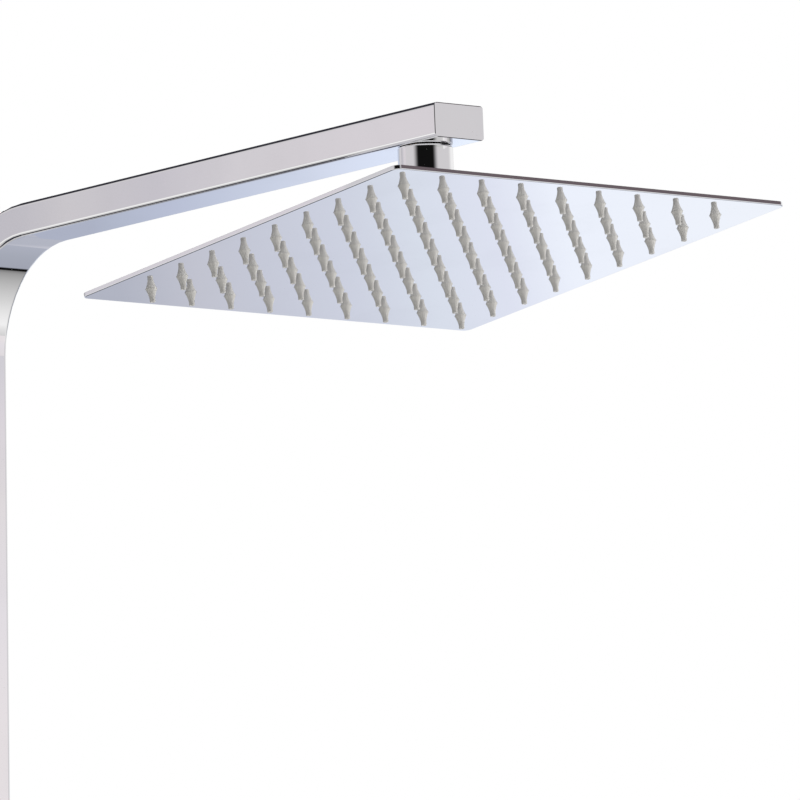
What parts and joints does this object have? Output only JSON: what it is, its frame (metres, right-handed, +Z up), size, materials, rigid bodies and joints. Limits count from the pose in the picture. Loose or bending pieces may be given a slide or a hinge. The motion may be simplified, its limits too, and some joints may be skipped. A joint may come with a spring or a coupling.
{
  "type": "rainfall shower column",
  "caption": "Wall-fixed shower column: a flat tube bent into an arm carries a thin square rain head on a ball joint, with a diverter and a sliding handset holder.",
  "frame": {"origin": "centre of the lower wall fixing's face on the wall", "axes": "+Z up along the riser, -Y out from the wall, +X to the right for a person facing the wall"},
  "size_m": [0.25, 0.5518, 1.0511],
  "materials": {
    "chrome": "bright polished chrome plate",
    "polished_steel": "mirror polished stainless sheet",
    "silicone": "soft translucent grey silicone",
    "brass": "turned brass",
    "plain_steel": "satin stainless steel",
    "seal_rubber": "matt black rubber",
    "white_plastic": "smooth white acetal",
    "blue_plastic": "moulded blue plastic",
    "orange_plastic": "moulded orange plastic"
  },
  "bodies": {
    "column": {"bent_tube": "chrome", "arm_end_cap": "chrome", "arm_insert": "brass", "arm_nipple": "brass", "ball_connector": "chrome", "inlet_washer": "seal_rubber", "filter_screen": "plain_steel", "flow_restrictor": "orange_plastic", "riser_foot": "brass", "foot_o_rings": "seal_rubber", "foot_grub_screws": "plain_steel", "diverter_body": "chrome", "diverter_cartridge": "white_plastic", "cartridge_seals": "seal_rubber", "cartridge_nut": "brass", "hose_outlet_nipple": "chrome", "inlet_nipple": "chrome", "check_valve": "blue_plastic", "inlet_strainer": "plain_steel", "riser_clip": "chrome", "clip_screw": "plain_steel", "upper_stem": "chrome", "upper_wall_plate": "plain_steel", "upper_wall_cover": "chrome", "upper_grub_screw": "plain_steel", "lower_stem": "chrome", "lower_wall_plate": "plain_steel", "lower_wall_cover": "chrome", "lower_grub_screw": "plain_steel"},
    "ball_seat": {"upper_ball_seat": "white_plastic"},
    "ball_cup": {"lower_ball_seat": "white_plastic"},
    "rain_head": {"seat_seal": "seal_rubber", "socket_nut": "chrome", "head_neck": "chrome", "back_plate": "polished_steel", "face_plate": "polished_steel", "nozzle_mat": "silicone", "spacer_studs": "plain_steel"},
    "diverter_knob": {"diverter_spindle": "brass", "diverter_knob": "chrome", "knob_screw": "plain_steel", "index_cap": "white_plastic"},
    "slider": {"slider_body": "chrome", "slider_liner": "white_plastic", "clamp_pad": "white_plastic", "cradle_pivot_bolt": "plain_steel", "pivot_nut": "plain_steel", "friction_washers": "white_plastic"},
    "clamp_knob": {"clamp_screw": "plain_steel", "clamp_knob": "chrome", "clamp_knob_cap": "chrome"},
    "cradle": {"handset_cradle": "chrome"}
  },
  "joints": [
    {"name": "swivel_spin", "type": "hinge", "parent": "column", "child": "ball_seat", "pos_m": [0, -0.4246, 0.952], "axis": [0, 0.0419, 0.9991], "continuous": true},
    {"name": "head_tilt", "type": "hinge", "parent": "ball_seat", "child": "ball_cup", "pos_m": [0, -0.4246, 0.952], "axis": [1, 0, 0], "range_deg": [-8.5, 21]},
    {"name": "head_twist", "type": "hinge", "parent": "ball_cup", "child": "rain_head", "pos_m": [0, -0.4246, 0.952], "axis": [0, 0.1504, 0.9886], "continuous": true},
    {"name": "diverter_turn", "type": "hinge", "parent": "column", "child": "diverter_knob", "pos_m": [0, -0.05375, 0], "axis": [0, -1, 0], "range_deg": [-90, 90]},
    {"name": "slider_slide", "type": "slide", "parent": "column", "child": "slider", "axis": [0, 0, 1], "range_m": [-0.2, 0.2]},
    {"name": "clamp_turn", "type": "hinge", "parent": "slider", "child": "clamp_knob", "pos_m": [0.03, -0.05375, 0.33], "axis": [1, 0, 0], "range_deg": [0, 270]},
    {"name": "cradle_tilt", "type": "hinge", "parent": "slider", "child": "cradle", "pos_m": [0, -0.07675, 0.33], "axis": [1, 0, 0], "range_deg": [-30, 40]}
  ]
}
